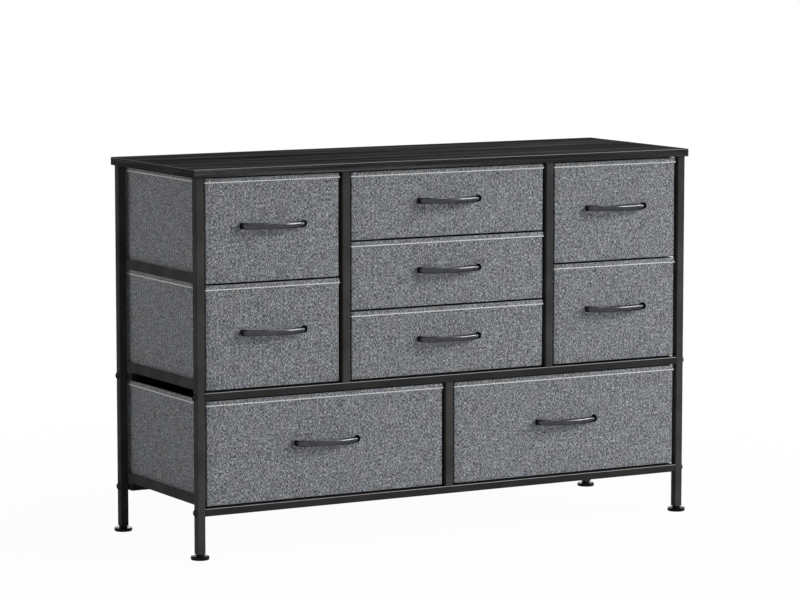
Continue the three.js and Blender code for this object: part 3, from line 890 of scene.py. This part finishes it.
button = {
    "headRadius": 5.8, "rim": 0.8, "headHeight": 4.2, "domeSteps": 6, "headSides": 32,
    "shankRadius": 3, "shankLength": 25.6,
    "socketRadius": 2.3, "socketDepth": 2.2, "cutterLength": 4,
    "sliver": 0.002,        # faces thinner than this, left by the cut, are merged away
    "smoothAngle": 40,
}
levelFoot = {
    "discRadius": 16, "discHeight": 6.2, "discSides": 48,
    "edgeRadius": 1.4, "edgeSteps": 4,
    "shoulder": 1,          # width and height of the slope at the foot of the neck
    "neckRadius": 7.2, "neckTop": 9.3,
    "stemRadius": 4, "stemTop": 33.6,
    "smoothAngle": 35,
}


def makeBolt():
    # button head on its seat at z = 0: the dome is inset and raised step by step, a hexagon cuts the socket
    head = addDisc("one_bolt", button["headSides"], button["headRadius"], button["rim"])
    crown = button["headHeight"] - button["rim"]
    editOn(head, "FACE", facesUp)
    for step in range(1, button["domeSteps"]):
        before = (step - 1) / button["domeSteps"] * math.pi / 2
        after = step / button["domeSteps"] * math.pi / 2
        bpy.ops.mesh.inset(thickness=button["headRadius"] * (math.cos(before) - math.cos(after)) * mm)
        bpy.ops.transform.translate(value=(0, 0, crown * (math.sin(after) - math.sin(before)) * mm))
    editDone()
    editOn(head, "FACE", facesDown)
    bpy.ops.mesh.inset(thickness=(button["headRadius"] - button["shankRadius"]) * mm)
    pullOut(-button["shankLength"])
    editDone()
    hexagon = addDisc("socket_cut", 6, button["socketRadius"], button["cutterLength"],
                      button["headHeight"] - button["socketDepth"])
    applyModifier(head, "BOOLEAN", {"operation": "DIFFERENCE", "object": hexagon})
    bpy.data.objects.remove(hexagon)
    editOn(head, "FACE", anyFace)
    bpy.ops.mesh.dissolve_degenerate(threshold=button["sliver"] * mm)
    bpy.ops.mesh.quads_convert_to_tris(quad_method="BEAUTY", ngon_method="BEAUTY")
    editDone()
    cover(head, blackOxide)
    smoothByAngle(head, button["smoothAngle"])
    return head


def makeFoot():
    # disc on the floor at z = 0 with a rounded edge, then the neck and the stem that goes up into the post
    pad = addDisc("one_foot", levelFoot["discSides"], levelFoot["discRadius"], levelFoot["discHeight"])
    editOn(pad, "EDGE", lambda a, b: abs(a.z - b.z) < hair)
    bpy.ops.mesh.bevel(offset=levelFoot["edgeRadius"] * mm, segments=levelFoot["edgeSteps"], affect="EDGES")
    editDone()
    flatRadius = levelFoot["discRadius"] - levelFoot["edgeRadius"]
    editOn(pad, "FACE", facesUp)
    bpy.ops.mesh.inset(thickness=(flatRadius - levelFoot["neckRadius"] - levelFoot["shoulder"]) * mm)
    bpy.ops.mesh.inset(thickness=levelFoot["shoulder"] * mm)
    bpy.ops.transform.translate(value=(0, 0, levelFoot["shoulder"] * mm))
    pullOut(levelFoot["neckTop"] - levelFoot["discHeight"] - levelFoot["shoulder"])
    bpy.ops.mesh.inset(thickness=(levelFoot["neckRadius"] - levelFoot["stemRadius"]) * mm)
    pullOut(levelFoot["stemTop"] - levelFoot["neckTop"])
    editDone()
    cover(pad, mouldedPlastic)
    smoothByAngle(pad, levelFoot["smoothAngle"])
    return pad


oneBolt = makeBolt()
oneFoot = makeFoot()
for name in sorted(nodes):
    low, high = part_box(name)
    centre = (low + high) / 2
    if name.startswith("bolt_"):
        piece = ownCopy(oneBolt, name.replace("bolt_", "button_bolt_"))
        side = -1 if centre.x < 0 else 1
        piece.rotation_euler = (0, side * math.radians(90), 0)
        seat = (high.x if side > 0 else low.x) - side * button["headHeight"] * mm
        piece.location = (seat, centre.y, centre.z)
        body, finishSlot = "frame", "bolt_steel"
    elif name.startswith("foot_"):
        piece = ownCopy(oneFoot, name.replace("foot_", "levelling_foot_"))
        piece.location = (centre.x, centre.y, low.z)
        body, finishSlot = name, "foot_plastic"
    else:
        continue
    applyPlace(piece)
    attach(piece, body)
    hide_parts(name)
bpy.data.objects.remove(oneBolt)
bpy.data.objects.remove(oneFoot)
print("Bolts and feet fitted")
